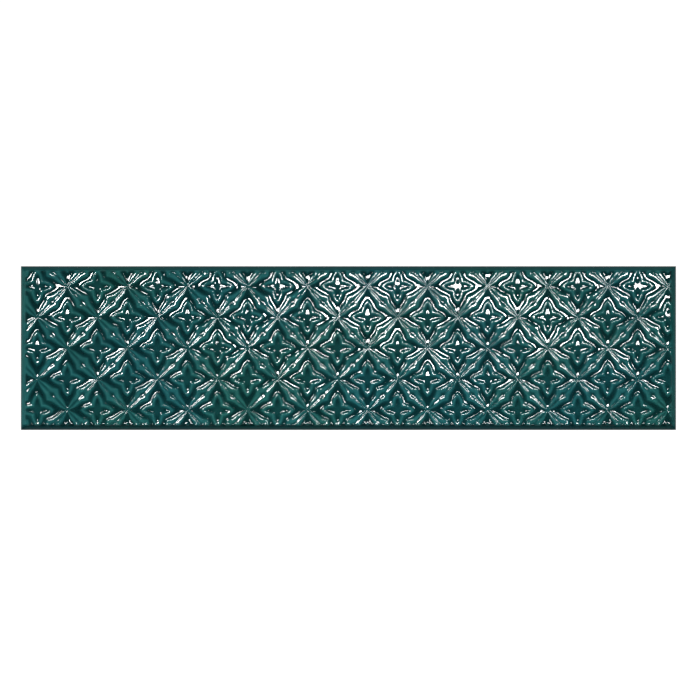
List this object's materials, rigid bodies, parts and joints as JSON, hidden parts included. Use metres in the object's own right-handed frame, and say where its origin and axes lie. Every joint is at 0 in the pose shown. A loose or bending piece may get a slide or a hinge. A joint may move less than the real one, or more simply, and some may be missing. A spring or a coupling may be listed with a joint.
{
  "type": "decorative ceramic wall tile",
  "caption": "Long glazed ceramic wall tile with a diamond lattice and four-petal flowers in low relief, a narrow rim and a keyed back for adhesive.",
  "frame": {"origin": "middle of the tile's back, on the plane that it rests on", "axes": "+X along the tile's length, +Y across its width, +Z out of the decorated face"},
  "size_m": [0.3, 0.075, 0.0085],
  "materials": {
    "glaze": "gloss"
  },
  "bodies": {
    "root": {"tile": "glaze"}
  },
  "joints": []
}
